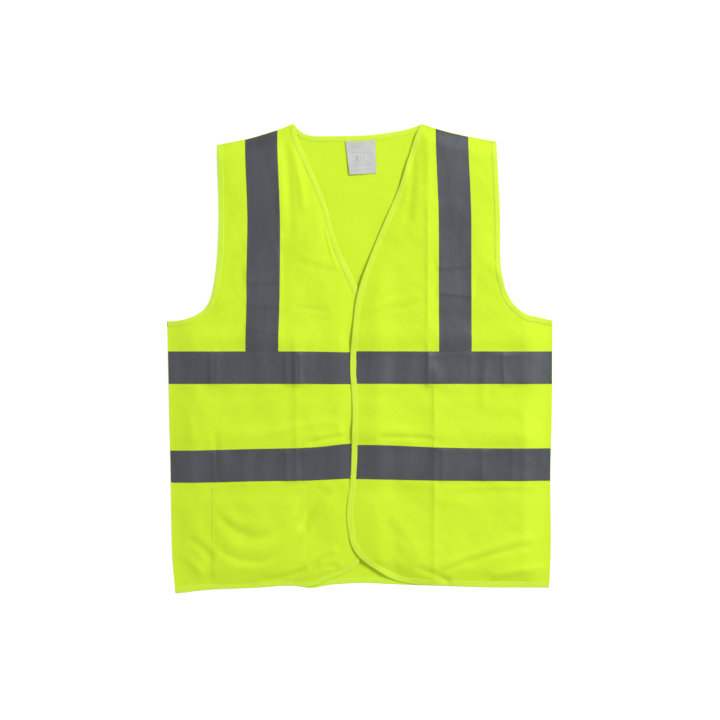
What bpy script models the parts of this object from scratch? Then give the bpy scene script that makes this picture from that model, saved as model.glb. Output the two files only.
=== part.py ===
"""High visibility vest, laid flat on its back with the front closed.

The vest lies on the XY plane: +X is the wearer's left, +Y points to the collar and +Z up, away from
the floor. The origin is under the middle of the vest. Layers from the floor up: back tapes, back
panel, the space for the wearer, right front (under), left front (over), with tapes on top of each
front. Both fronts fold open about slanting lines that start at the neck points.
"""

import math

import bpy
import bmesh
from mathutils import Matrix, Vector

# ---------------------------------------------------------------- driving dimensions (metres)
LENGTH = 0.717  # neck point to hem
CHEST_HALF = 0.297  # half the width across the underarms
HEM_HALF = 0.289
SHOULDER_HALF = 0.217  # half the width across the shoulder tips
NECK_HALF = 0.1006  # half the width between the neck points
SHOULDER_DROP = 0.027  # from the neck point down to the shoulder tip
BACK_NECK_DROP = 0.015
UNDERARM_DROP = 0.3026  # from the neck point down to the underarm
ARMHOLE_CURVE = 0.112  # height of the curved foot of the armhole
ARMHOLE_POWER = 2.4  # 2 is an ellipse, more is squarer
LAP_HALF = 0.0135  # each front passes the centre line by this much
V_SLOPE = 0.4213  # sideways run of the V edge for each metre of height
V_FOOT = 0.0928  # height where the V edge's line meets the lap
V_SOFTNESS = 0.04
CORNER_RADIUS = 0.075  # rounded lower corner of each front edge
FOLD_HEM_X = {"left": 0.135, "right": -0.072}  # where each fold line meets the hem

CLOTH = 0.0008
TAPE = 0.0005
RIBBON = 0.0004  # thickness of the folded binding ribbon
GAP = 0.0003  # clearance between pieces that touch
TAPE_WIDTH = 0.050
BAND_TOPS = {"upper": 0.009, "lower": -0.1405}  # upper edge of each horizontal band
BRACE_INNER = 0.1224
BINDING_WIDTH = 0.010
BINDING_GAP = 0.0005  # clearance between the cloth and the ribbon folded round it
BINDING_TOP = 0.024  # each front edge binding starts this far below the neck point
CLOTH_INSET = RIBBON + BINDING_GAP + 0.0003  # the cloth stops this far inside a bound edge
SEAM_WIDTH = 0.006
SEAM_END_CLEAR = 0.013

BACK_Z = RIBBON + BINDING_GAP + CLOTH / 2 + 0.0001  # middle of the back cloth
FRONT_Z = 0.0084  # middle of the front cloth
LAP_RISE_X = (0.0995, 0.066)  # the left front climbs over the right one between these

FOLD_AXIS_Z = 0.0120
LABEL_WIDTH = 0.048
LABEL_LENGTH = 0.054
LABEL_AXIS_Z = 0.0034
POCKET_X = (-0.228, -0.0826)
POCKET_TOP = -0.2015
POCKET_HEIGHT = 0.0048  # how far the pocket stands off the front at its mouth
POCKET_SLOPE = 0.030
PATCH_WIDTH = 0.017
PATCH_LENGTH = 0.050
PATCH_THICKNESS = 0.0006
PATCH_TOPS = {"upper": 0.062, "lower": -0.072}

BINDING_HALF = CLOTH / 2 + BINDING_GAP + RIBBON  # half the thickness of a bound edge
PATCH_OFFSET = BINDING_HALF + GAP + PATCH_THICKNESS / 2  # from a bound edge's middle
LAP_RISE = 2 * PATCH_OFFSET + PATCH_THICKNESS + GAP
NECK_Y = LENGTH / 2
HEM_Y = -LENGTH / 2
TIP_Y = NECK_Y - SHOULDER_DROP
UNDERARM_Y = NECK_Y - UNDERARM_DROP
BEND_FROM_Y = 0.20  # above this the rows of a panel bend to follow the shoulder line
NECK_STEPS = 5  # straight pieces in each half of the back neck's curve
ARMHOLE_STEPS = 7

SIDES = {"left": 1, "right": -1}  # the wearer's left lies at +X

# ---------------------------------------------------------------- materials


def material(name, colour, roughness, metallic=0.0):
    """A Principled material from a colour in linear RGB."""
    made = bpy.data.materials.get(name) or bpy.data.materials.new(name)
    made.use_nodes = True
    shader = made.node_tree.nodes["Principled BSDF"]
    shader.inputs["Base Color"].default_value = (*colour, 1.0)
    shader.inputs["Roughness"].default_value = roughness
    shader.inputs["Metallic"].default_value = metallic
    return made


def materials():
    return {
        "knit": material("fluorescent knit", (0.60, 0.90, 0.03), 0.85),
        "tape": material("reflective tape", (0.10, 0.105, 0.115), 0.45),
        "binding": material("edge binding", (0.70, 0.93, 0.16), 0.75),
        "thread": material("seam thread", (0.62, 0.88, 0.10), 0.80),
        "label": material("label cloth", (0.62, 0.64, 0.58), 0.60),
        "hook": material("hook tape", (0.55, 0.80, 0.06), 0.55),
        "loop": material("loop tape", (0.55, 0.80, 0.06), 0.90),
    }


# ---------------------------------------------------------------- outlines and heights


def smooth(value):
    t = min(max(value, 0.0), 1.0)
    return t * t * (3 - 2 * t)


def steps(start, end, count):
    return [start + (end - start) * i / count for i in range(count + 1)]


def half_width(y):
    """Half the width of the vest's outline at the sides and the armholes."""
    if y <= UNDERARM_Y:
        return HEM_HALF + (CHEST_HALF - HEM_HALF) * (y - HEM_Y) / (UNDERARM_Y - HEM_Y)
    rise = min((y - UNDERARM_Y) / ARMHOLE_CURVE, 1.0)
    level = (1 - (1 - rise) ** ARMHOLE_POWER) ** (1 / ARMHOLE_POWER)
    return SHOULDER_HALF + (CHEST_HALF - SHOULDER_HALF) * (1 - level)


def armhole_rows():
    """Heights that cut the armhole's curved foot into even pieces."""
    turns = [math.pi / 2 * i / ARMHOLE_STEPS for i in range(ARMHOLE_STEPS + 1)]
    return [
        UNDERARM_Y + ARMHOLE_CURVE * (1 - math.cos(t) ** (2 / ARMHOLE_POWER))
        for t in turns
    ]


def shoulder_y(x):
    """Height of the shoulder line or, between the neck points, of the back neck."""
    out = abs(x)
    if out >= NECK_HALF:
        return NECK_Y - SHOULDER_DROP * (out - NECK_HALF) / (SHOULDER_HALF - NECK_HALF)
    return NECK_Y - BACK_NECK_DROP * (1 - (out / NECK_HALF) ** 4)


def lap_edge_x(y, inset=0.0):
    """The left front's free edge: the V, the lap and the rounded corner. The right one mirrors it."""
    above = y - V_FOOT
    edge = inset - LAP_HALF + V_SLOPE * 0.5 * (above + math.hypot(above, V_SOFTNESS))
    down = HEM_Y + CORNER_RADIUS - y
    if down > 0:
        radius = CORNER_RADIUS - inset
        edge += radius - math.sqrt(max(radius**2 - down**2, 0.0))
    return edge


def edge_rows(inset=0.0):
    """Heights along a front's free edge from the hem up, shared by the cloth and its binding."""
    turns = [math.pi / 2 * i / 6 for i in range(7)]
    corner_y = HEM_Y + CORNER_RADIUS
    corner = [corner_y - (CORNER_RADIUS - inset) * math.cos(t) for t in turns]
    lap = steps(corner_y, V_FOOT - 0.05, 4)[1:]
    bend = steps(V_FOOT - 0.05, V_FOOT + 0.05, 4)[1:]
    neck = steps(V_FOOT + 0.05, NECK_Y - BINDING_TOP, 8)[1:]
    return corner + lap + bend + neck


def fold_x(side, y):
    """The straight fold line of a front, from the neck point to the hem."""
    top_x = SIDES[side] * NECK_HALF
    return top_x + (FOLD_HEM_X[side] - top_x) * (NECK_Y - y) / LENGTH


def right_front_z(x, y):
    """Middle height of the right front, which lies level."""
    return FRONT_Z


def left_front_z(x, y):
    """The left front climbs over the right one towards its free edge."""
    far, near = LAP_RISE_X
    climb = (far - x) / (far - near)
    return FRONT_Z + LAP_RISE * min(max(climb, 0.0), 1.0)


def back_z(x, y):
    return BACK_Z


def pocket_rise(x, y):
    """How far the pocket stands up from the front: sewn down at its sides and bottom, open on top."""
    inner = min(x - POCKET_X[0], POCKET_X[1] - x) / POCKET_SLOPE
    upper = (y - HEM_Y - BINDING_WIDTH) / (2 * POCKET_SLOPE)
    return POCKET_HEIGHT * smooth(inner) * smooth(upper)


FRONT_HEIGHTS = {"left": left_front_z, "right": right_front_z}


# ---------------------------------------------------------------- mesh makers


def add_object(name, mesh, look, parent):
    mesh.materials.append(look)
    made = bpy.data.objects.new(name, mesh)
    bpy.context.scene.collection.objects.link(made)
    if parent:
        made.parent = parent
        made.matrix_parent_inverse = parent.matrix_world.inverted()
    return made


def add_empty(name, location, along_y=None, parent=None):
    """A pivot whose local Y runs along the given direction."""
    made = bpy.data.objects.new(name, None)
    made.empty_display_size = 0.03
    turn = Matrix.Identity(4)
    if along_y:
        turn = Vector((0, 1, 0)).rotation_difference(Vector(along_y)).to_matrix().to_4x4()
    bpy.context.scene.collection.objects.link(made)
    if parent:
        made.parent = parent
        made.matrix_parent_inverse = parent.matrix_world.inverted()
    made.matrix_world = Matrix.Translation(location) @ turn
    bpy.context.view_layer.update()
    return made


def add_layer(name, grid, thickness, look, parent):
    """A thin solid layer: rows of points on its middle surface, thickened by a Solidify modifier."""
    mesh = bpy.data.meshes.new(name)
    shape = bmesh.new()
    rows = [[shape.verts.new(point) for point in row] for row in grid]
    for lower, upper in zip(rows, rows[1:]):
        for a, b, c, d in zip(lower, lower[1:], upper[1:], upper):
            shape.faces.new((a, b, c, d))
    bmesh.ops.recalc_face_normals(shape, faces=shape.faces)
    shape.to_mesh(mesh)
    shape.free()
    made = add_object(name, mesh, look, parent)
    solid = made.modifiers.new("thickness", "SOLIDIFY")
    solid.thickness = thickness
    solid.offset = 0.0
    solid.use_even_offset = True
    return made


def add_binding(name, path, height, look, parent):
    """A ribbon folded round a bound edge: path holds (x, y, outward x, outward y)."""
    half = CLOTH / 2 + BINDING_GAP + RIBBON / 2
    inner = BINDING_WIDTH - RIBBON / 2
    outer = RIBBON / 2
    profile = ((inner, half), (outer, half), (outer, -half), (inner, -half))
    grid = []
    for x, y, out_x, out_y in path:
        row = []
        for inward, up in profile:
            px = x - out_x * inward
            py = y - out_y * inward
            row.append((px, py, height(px, py) + up))
        grid.append(row)
    return add_layer(name, grid, RIBBON, look, parent)


def outward_path(points, turn):
    """Adds the outward normal at each point of an edge; turn is 1 or -1 for its side."""
    path = []
    for i, (x, y) in enumerate(points):
        before = points[max(i - 1, 0)]
        after = points[min(i + 1, len(points) - 1)]
        run = Vector((after[0] - before[0], after[1] - before[1])).normalized()
        path.append((x, y, run.y * turn, -run.x * turn))
    return path


# ---------------------------------------------------------------- panels

HEM_ROWS = steps(HEM_Y + CLOTH_INSET, UNDERARM_Y - CLOTH_INSET, 6)
ARMHOLE_ROWS = [y - CLOTH_INSET for y in armhole_rows()][1:]
UPPER_ROWS = steps(ARMHOLE_ROWS[-1], TIP_Y - CLOTH_INSET, 5)[1:]
SIDE_ROWS = HEM_ROWS + ARMHOLE_ROWS + UPPER_ROWS


def bent_row_y(x_share, row_y):
    """Moves a point of a row up towards the shoulder line; x_share runs from 0 to 1 across it."""
    weight = smooth((row_y - BEND_FROM_Y) / (SIDE_ROWS[-1] - BEND_FROM_Y))
    top = shoulder_y(x_share * SHOULDER_HALF) - CLOTH_INSET
    return row_y + weight * (top - SIDE_ROWS[-1])


def cloth_half_width(y):
    """The cloth reaches the side seam, and stops below and inside the armhole's edge."""
    if y <= HEM_ROWS[-1]:
        return half_width(y)
    return half_width(y + CLOTH_INSET) - CLOTH_INSET


def make_back_panel(looks, root):
    neck_share = NECK_HALF / SHOULDER_HALF
    outer = steps(neck_share, 1.0, 3)
    inner = steps(0.0, neck_share, NECK_STEPS)[:-1]
    right_half = inner + outer
    shares = [-s for s in reversed(right_half[1:])] + right_half
    grid = [
        [(s * cloth_half_width(y), bent_row_y(s, y), BACK_Z) for s in shares]
        for y in SIDE_ROWS
    ]
    add_layer("back_panel", grid, CLOTH, looks["knit"], root)


def make_front_side(side, looks, root):
    """The part of a front between its fold line and the side seam and armhole."""
    sign = SIDES[side]
    height = FRONT_HEIGHTS[side]
    grid = []
    for row_y in SIDE_ROWS:
        row = []
        for across in steps(0.0, 1.0, 4):
            near_share = abs(fold_x(side, row_y)) / SHOULDER_HALF
            share = near_share + (1 - near_share) * across
            y = bent_row_y(share, row_y)
            near = abs(fold_x(side, y)) + GAP
            x = sign * (near + (cloth_half_width(row_y) - near) * across)
            row.append((x, y, height(x, y)))
        grid.append(row)
    add_layer(side + "_front_side", grid, CLOTH, looks["knit"], root)


def flap_columns(near, free):
    """Places across a front flap, with one where the left front's climb starts and one where it ends."""
    width = near - free
    start = min(max(LAP_RISE_X[0], free + 0.45 * width), free + 0.92 * width)
    end = min(max(LAP_RISE_X[1], free + 0.06 * width), free + 0.40 * width)
    return [near, start, end, (end + free) / 2, free]


def make_front_flap(side, looks, pivot):
    """The part of a front between its fold line and its free edge."""
    height = FRONT_HEIGHTS[side]
    grid = []
    for y in edge_rows(CLOTH_INSET):
        near = abs(fold_x(side, y)) - GAP
        free = lap_edge_x(y, CLOTH_INSET)
        xs = [SIDES[side] * x for x in flap_columns(near, free)]
        grid.append([(x, y, height(x, y)) for x in xs])
    add_layer(side + "_front_flap", grid, CLOTH, looks["knit"], pivot)


def make_pocket(looks, root):
    """A patch on the right front's side part, sewn down at its sides and bottom."""
    grid = []
    for y in steps(HEM_Y + BINDING_WIDTH + GAP, POCKET_TOP, 6):
        row = []
        for x in steps(POCKET_X[0], POCKET_X[1], 10):
            rise = pocket_rise(x, y)
            row.append((x, y, FRONT_Z + CLOTH + GAP + rise))
        grid.append(row)
    add_layer("pocket_patch", grid, CLOTH, looks["knit"], root)


# ---------------------------------------------------------------- tapes


def make_front_bands(side, looks, root, pivot):
    """Each front band is one tape, divided at the fold line."""
    sign = SIDES[side]
    height = FRONT_HEIGHTS[side]
    lift = CLOTH / 2 + GAP + TAPE / 2
    for level, top in BAND_TOPS.items():
        side_grid = []
        flap_grid = []
        for y in steps(top - TAPE_WIDTH, top, 2):
            fold = abs(fold_x(side, y))
            free = lap_edge_x(y) + BINDING_WIDTH + GAP
            outer = [sign * x for x in steps(fold + GAP, half_width(y), 4)]
            inner = [sign * x for x in flap_columns(fold - GAP, free)]
            side_grid.append([(x, y, height(x, y) + lift) for x in outer])
            flap_grid.append([(x, y, height(x, y) + lift) for x in inner])
        name = side + "_front_" + level + "_band_"
        add_layer(name + "side", side_grid, TAPE, looks["tape"], root)
        add_layer(name + "flap", flap_grid, TAPE, looks["tape"], pivot)


def make_front_brace(side, looks, root):
    """The vertical tape from the shoulder seam down to the upper band."""
    lift = CLOTH / 2 + GAP + TAPE / 2
    foot = BAND_TOPS["upper"] + GAP
    grid = []
    for up in steps(0.0, 1.0, 4):
        row = []
        for out in steps(BRACE_INNER, BRACE_INNER + TAPE_WIDTH, 2):
            y = foot + (shoulder_y(out) - CLOTH_INSET - foot) * up
            x = SIDES[side] * out
            row.append((x, y, FRONT_HEIGHTS[side](x, y) + lift))
        grid.append(row)
    add_layer(side + "_front_brace_tape", grid, TAPE, looks["tape"], root)


def make_back_brace(side, looks, root):
    foot = BAND_TOPS["upper"] + GAP
    grid = []
    for up in steps(0.0, 1.0, 2):
        row = []
        for out in (BRACE_INNER, BRACE_INNER + TAPE_WIDTH):
            y = foot + (shoulder_y(out) - CLOTH_INSET - foot) * up
            row.append((SIDES[side] * out, y, TAPE / 2))
        grid.append(row)
    add_layer(side + "_back_brace_tape", grid, TAPE, looks["tape"], root)


def make_back_bands(looks, root):
    for level, top in BAND_TOPS.items():
        ys = (top - TAPE_WIDTH, top)
        grid = [
            [(x, y, TAPE / 2) for x in steps(-half_width(y), half_width(y), 4)]
            for y in ys
        ]
        add_layer("back_" + level + "_band", grid, TAPE, looks["tape"], root)


# ---------------------------------------------------------------- bindings


def make_neck_binding(looks, root):
    end = NECK_HALF - 0.004
    between = steps(-NECK_HALF, NECK_HALF, 2 * NECK_STEPS)[1:-1]
    points = [(x, shoulder_y(x)) for x in (-end, *between, end)]
    add_binding("neck_binding", outward_path(points, -1), back_z, looks["binding"], root)


def make_front_edge_binding(side, looks, pivot):
    """Down the V, along the lap, round the corner and along the hem to the fold line."""
    sign = SIDES[side]
    points = [(sign * lap_edge_x(y), y) for y in reversed(edge_rows())]
    fold_end = abs(fold_x(side, HEM_Y)) - 2 * GAP
    climbs = [x for x in reversed(LAP_RISE_X) if x < fold_end - BINDING_WIDTH]
    points += [(sign * x, HEM_Y) for x in (*climbs, fold_end)]
    path = outward_path(points, sign)
    add_binding(
        side + "_front_edge_binding", path, FRONT_HEIGHTS[side], looks["binding"], pivot
    )


def make_armhole_bindings(side, looks, root):
    """One run on the back and one on the front, from the underarm up to the shoulder tip."""
    sign = SIDES[side]
    straight = steps(UNDERARM_Y + ARMHOLE_CURVE, TIP_Y - 0.002, 4)[1:]
    points = [(sign * half_width(y), y) for y in armhole_rows() + straight]
    points[0] = (sign * (CHEST_HALF - 0.001), UNDERARM_Y)
    path = outward_path(points, sign)
    runs = {"back": back_z, "front": FRONT_HEIGHTS[side]}
    for layer, height in runs.items():
        name = side + "_" + layer + "_armhole_binding"
        add_binding(name, path, height, looks["binding"], root)


def make_hem_bindings(looks, root):
    end = HEM_HALF - 0.0005
    xs = steps(-end, end, 8)
    path = outward_path([(x, HEM_Y) for x in xs], 1)
    add_binding("back_hem_binding", path, back_z, looks["binding"], root)
    for side, sign in SIDES.items():
        near = abs(fold_x(side, HEM_Y)) + 2 * GAP
        points = [(sign * x, HEM_Y) for x in steps(near, end, 6)]
        path = outward_path(points, sign)
        name = side + "_front_hem_binding"
        add_binding(name, path, FRONT_HEIGHTS[side], looks["binding"], root)


# ---------------------------------------------------------------- seams, patches and label


def make_side_seam(side, looks, root):
    """The sewn allowance that joins front and back, standing between the two layers."""
    low = BACK_Z + CLOTH / 2 + GAP
    high = FRONT_Z - CLOTH / 2 - GAP
    sign = SIDES[side]
    ys = steps(HEM_Y + SEAM_END_CLEAR, UNDERARM_Y - SEAM_END_CLEAR, 4)
    grid = []
    for y in ys:
        edge = half_width(y)
        grid.append([(sign * x, y, (low + high) / 2) for x in (edge - SEAM_WIDTH, edge)])
    add_layer(side + "_side_seam", grid, high - low, looks["thread"], root)


def make_shoulder_seam(side, looks, root):
    low = BACK_Z + CLOTH / 2 + GAP
    high = FRONT_Z - CLOTH / 2 - GAP
    grid = []
    for out in steps(NECK_HALF + SEAM_END_CLEAR, SHOULDER_HALF - SEAM_END_CLEAR, 4):
        top = shoulder_y(out) - CLOTH_INSET
        x = SIDES[side] * out
        grid.append([(x, y, (low + high) / 2) for y in (top - SEAM_WIDTH, top)])
    add_layer(side + "_shoulder_seam", grid, high - low, looks["thread"], root)


def make_closure(level, looks, left_pivot, right_pivot):
    """A loop patch on the right front's bound edge and a hook patch behind the left one's."""
    top = PATCH_TOPS[level]
    ys = steps(top - PATCH_LENGTH, top, 2)
    xs = (-PATCH_WIDTH / 2, PATCH_WIDTH / 2)
    loop = [[(x, y, FRONT_Z + PATCH_OFFSET) for x in xs] for y in ys]
    hook = [[(x, y, left_front_z(x, y) - PATCH_OFFSET) for x in xs] for y in ys]
    add_layer(level + "_loop_patch", loop, PATCH_THICKNESS, looks["loop"], right_pivot)
    add_layer(level + "_hook_patch", hook, PATCH_THICKNESS, looks["hook"], left_pivot)


def label_top_y():
    return NECK_Y - BACK_NECK_DROP - BINDING_WIDTH - GAP


def make_label(looks, pivot):
    z = BACK_Z + CLOTH / 2 + GAP + TAPE / 2
    top = label_top_y()
    xs = steps(-LABEL_WIDTH / 2, LABEL_WIDTH / 2, 2)
    ys = steps(top - LABEL_LENGTH, top, 2)
    grid = [[(x, y, z) for x in xs] for y in ys]
    add_layer("neck_label", grid, TAPE, looks["label"], pivot)


# ---------------------------------------------------------------- assembly


def clear_scene():
    for old in list(bpy.data.objects):
        bpy.data.objects.remove(old, do_unlink=True)


def main():
    clear_scene()
    looks = materials()
    root = add_empty("vest", (0, 0, 0))
    pivots = {}
    for side, sign in SIDES.items():
        run = Vector((fold_x(side, HEM_Y) - fold_x(side, NECK_Y), -LENGTH, 0)).normalized()
        start = (fold_x(side, NECK_Y), NECK_Y, FOLD_AXIS_Z)
        pivots[side] = add_empty(side + "_front_fold", start, -run * sign, root)
    label_start = (0, label_top_y(), LABEL_AXIS_Z)
    label_pivot = add_empty("label_fold", label_start, (-1, 0, 0), root)

    make_back_panel(looks, root)
    make_back_bands(looks, root)
    make_neck_binding(looks, root)
    make_hem_bindings(looks, root)
    make_pocket(looks, root)
    make_label(looks, label_pivot)
    for side in SIDES:
        make_front_side(side, looks, root)
        make_front_flap(side, looks, pivots[side])
        make_front_bands(side, looks, root, pivots[side])
        make_front_brace(side, looks, root)
        make_back_brace(side, looks, root)
        make_front_edge_binding(side, looks, pivots[side])
        make_armhole_bindings(side, looks, root)
        make_side_seam(side, looks, root)
        make_shoulder_seam(side, looks, root)
    for level in PATCH_TOPS:
        make_closure(level, looks, pivots["left"], pivots["right"])


main()
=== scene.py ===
"""The look of the high visibility vest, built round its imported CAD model.

Every layer of the vest is drawn on the flat pattern first: x runs to the wearer's left and y to the
collar, in metres, as in the CAD. A Cloth then says where a point of the pattern lies, with the way
the vest was laid out, its pressed folds and the settling of a cloth simulation. Tapes, bindings and
stitches are placed on that same surface, so that they follow every crease of the cloth.
"""

import math

import bpy
import numpy as np
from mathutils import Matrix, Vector


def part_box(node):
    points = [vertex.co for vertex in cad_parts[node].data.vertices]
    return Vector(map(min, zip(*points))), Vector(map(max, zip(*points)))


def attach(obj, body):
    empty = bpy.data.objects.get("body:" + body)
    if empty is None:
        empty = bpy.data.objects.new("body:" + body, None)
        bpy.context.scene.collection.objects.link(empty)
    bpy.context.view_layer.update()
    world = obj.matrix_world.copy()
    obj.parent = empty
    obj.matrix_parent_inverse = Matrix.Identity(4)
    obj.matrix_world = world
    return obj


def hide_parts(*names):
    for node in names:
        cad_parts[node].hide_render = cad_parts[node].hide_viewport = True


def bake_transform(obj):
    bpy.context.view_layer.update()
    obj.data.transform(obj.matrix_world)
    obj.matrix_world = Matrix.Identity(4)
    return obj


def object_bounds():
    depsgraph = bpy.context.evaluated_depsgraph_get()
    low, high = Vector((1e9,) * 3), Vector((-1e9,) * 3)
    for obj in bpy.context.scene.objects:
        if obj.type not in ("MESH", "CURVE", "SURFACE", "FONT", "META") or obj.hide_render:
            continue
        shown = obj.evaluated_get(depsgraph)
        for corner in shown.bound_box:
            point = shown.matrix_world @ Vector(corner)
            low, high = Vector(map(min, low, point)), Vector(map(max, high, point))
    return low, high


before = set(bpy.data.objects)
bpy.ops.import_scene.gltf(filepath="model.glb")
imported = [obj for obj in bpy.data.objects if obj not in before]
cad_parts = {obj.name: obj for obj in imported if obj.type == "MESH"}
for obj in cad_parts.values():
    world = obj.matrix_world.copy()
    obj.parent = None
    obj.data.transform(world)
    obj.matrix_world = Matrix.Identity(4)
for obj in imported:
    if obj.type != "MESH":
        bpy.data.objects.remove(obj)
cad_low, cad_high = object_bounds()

# ---- sizes (metres)

# The outline, as in the CAD
NECK_Y = cad_high.y - 0.0001  # the neck points
HEM_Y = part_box("back_hem_binding")[0].y
CHEST_HALF = 0.297  # half widths
HEM_HALF = 0.289
SHOULDER_HALF = 0.217
NECK_HALF = 0.1006
SHOULDER_DROP = 0.027  # from the neck point to the tip of the shoulder
BACK_NECK_DROP = 0.015
TIP_Y = 0.3315
UNDERARM_Y = 0.0559
ARMHOLE_CURVE = 0.112  # height of the curved part of an armhole
ARMHOLE_POWER = 2.4
LAP_HALF = 0.0135
V_SLOPE = 0.4213
V_FOOT = 0.0928
V_SOFTNESS = 0.04
CORNER_RADIUS = 0.075
SIDES = {"left": 1, "right": -1}

# Where the fronts fold open
FOLD_HEM_X = {"left": 0.135, "right": -0.072}
FOLD_AXIS_Z = 0.0120
FOLD_STRIP = (0.016, 0.006)  # and is closely divided this far inward and outward of it
CLOTH_COLUMNS = (38, 27, 60)  # quads inward of that strip, in it and outward of it
TAPE_COLUMNS = (80, 27, 130)

# Layers
CLOTH = 0.0005
CLOTH_EDGE = 0.0011  # a cloth ends this far inside the outline, under the ribbon
TAPE = 0.0003
TAPE_WIDTH = 0.050
TAPE_LIFT = CLOTH / 2 + TAPE / 2 + 0.00005
TAPE_TOP = TAPE_LIFT + TAPE / 2
TAPE_END = 0.0077  # a band ends this far from a bound edge, under the ribbon
TAPE_SEWN = 0.0006  # and this far from the side seam
TRIM_WIDTH = 0.0088
TRIM_HALF = 0.00050  # half the thickness of a bound edge
TRIM_PITCH = 0.0022
STITCH_PITCH = 0.0030
STITCH_LENGTH = 0.0023
STITCH_RADIUS = 0.00021
STITCH_SIDES = 5
PITCH = 0.0028  # size of a quad of cloth
CORNER_ROWS, ARMHOLE_ROWS = 27, 34  # of points round a corner and beside an armhole
BEND_FROM = 0.20  # the rows of cloth begin to bend up to the shoulders at this height

# How the layers lie
BACK_Z = 0.00098
SEAM_GAP = 0.0014  # front and back where they are sewn together
OPEN_GAP = 0.0052  # and where they are not
SIDE_REACH = 0.045  # how far from a side seam the layers are fully apart
SHOULDER_REACH = 0.026  # and from a shoulder seam
SEAM_END = 0.030  # a seam's hold on the layers fades over this length at its end
FOLD_CEILING = 0.0098  # the cloth stays under this height along the line where a front folds open
FOLD_SOFTNESS = 0.0004
FOLD_NEAR, FOLD_FAR = 0.012, 0.020  # held down within the first, free after the second more
HEM_DROP = 0.0042  # the front comes down to the back this much along the hem
HEM_REACH = 0.034
EDGE_DROP = 0.0030  # and this much along its free edge
EDGE_REACH = 0.03
BULGE, BULGE_MIDDLE, BULGE_REACH = 0.0028, 0.021, 0.018  # of the cloth above a band
SINK, SINK_MIDDLE, SINK_REACH = 0.0010, 0.017, 0.011  # and below it
REST_SOFTNESS = 0.0003  # how gently the front comes to rest on the back
LAP_LIFT = 0.0029  # the upper front climbs over the under one by this much

# Places from the CAD
BAND_TOPS = {
    "upper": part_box("back_upper_band")[1].y,
    "lower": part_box("back_lower_band")[1].y,
}
BRACE_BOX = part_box("left_front_brace_tape")
BRACE_MIDDLE = (BRACE_BOX[0].x + BRACE_BOX[1].x) / 2
POCKET_LOW, POCKET_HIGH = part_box("pocket_patch")
POCKET_RIM = 0.00009  # thickness of its pressed edge
POCKET_BAG = 0.0012  # how far its middle stands off the front
POCKET_TOP = POCKET_HIGH.y + 0.0030
POCKET_FOOT = HEM_Y + TRIM_WIDTH - 0.0008
LABEL_LOW, LABEL_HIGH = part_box("neck_label")
LABEL_LOW = LABEL_LOW + Vector((0.0020, 0.0030, 0.0))  # less what is folded under


def new_object(name, data):
    made = bpy.data.objects.new(name, data)
    bpy.context.scene.collection.objects.link(made)
    return made


def new_mesh(name, points, faces):
    mesh = bpy.data.meshes.new(name)
    mesh.from_pydata(points, [], faces)
    return mesh


def quads(numbers, flip=False):
    """The quads of a grid of point numbers, in which a number below zero is no point."""
    a, b, c, d = numbers[:-1, :-1], numbers[:-1, 1:], numbers[1:, 1:], numbers[1:, :-1]
    faces = np.stack([a, d, c, b] if flip else [a, b, c, d], axis=-1).reshape(-1, 4)
    return faces[faces.min(axis=1) >= 0].tolist()


def square(name, half):
    """A level square round the origin."""
    corners = [(-half, -half, 0), (half, -half, 0), (half, half, 0), (-half, half, 0)]
    return new_mesh(name, corners, [(0, 1, 2, 3)])


def smooth(value):
    """From 0 to 1 as the value does, level at both ends."""
    t = np.clip(value, 0.0, 1.0)
    return t * t * (3 - 2 * t)


def bell(value):
    """1 at 0, and hardly anything beyond 2 to either side."""
    return np.exp(-value * value)


# ---- the flat pattern


def side_x(y):
    """The straight side seam, and its line carried on past the underarm."""
    return HEM_HALF + (CHEST_HALF - HEM_HALF) * (y - HEM_Y) / (UNDERARM_Y - HEM_Y)


def half_width(y):
    """Half the width of the outline at the sides and the armholes."""
    rise = np.clip((y - UNDERARM_Y) / ARMHOLE_CURVE, 0.0, 1.0)
    level = (1 - (1 - rise) ** ARMHOLE_POWER) ** (1 / ARMHOLE_POWER)
    arm = SHOULDER_HALF + (CHEST_HALF - SHOULDER_HALF) * (1 - level)
    return np.where(y <= UNDERARM_Y, side_x(y), arm)


def shoulder_y(x):
    """The top of the outline: the shoulder lines and, between them, the back neck."""
    out = np.abs(x)
    slope = NECK_Y - SHOULDER_DROP * (out - NECK_HALF) / (SHOULDER_HALF - NECK_HALF)
    neck = NECK_Y - BACK_NECK_DROP * (1 - np.minimum(out / NECK_HALF, 1.0) ** 4)
    return np.where(out >= NECK_HALF, slope, neck)


def free_edge_x(y, inset=0.0):
    """The left front's free edge: the V, the lap and the rounded corner. The right is its mirror."""
    above = y - V_FOOT
    edge = inset - LAP_HALF + V_SLOPE * 0.5 * (above + np.hypot(above, V_SOFTNESS))
    radius = CORNER_RADIUS - inset
    down = np.clip(HEM_Y + CORNER_RADIUS - y, 0.0, radius)
    return edge + radius - np.sqrt(radius**2 - down**2)


def fold_x(side, y):
    """The straight line along which a front folds open."""
    top = SIDES[side] * NECK_HALF
    return top + (FOLD_HEM_X[side] - top) * (NECK_Y - y) / (NECK_Y - HEM_Y)


def spaced(start, end, pitch=PITCH):
    """Even steps of about the pitch."""
    return np.linspace(start, end, max(2, round(abs(end - start) / pitch) + 1))


def oblong(low, high, pitch):
    """An even grid of points between two corners."""
    return np.meshgrid(spaced(low.x, high.x, pitch), spaced(low.y, high.y, pitch))


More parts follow.
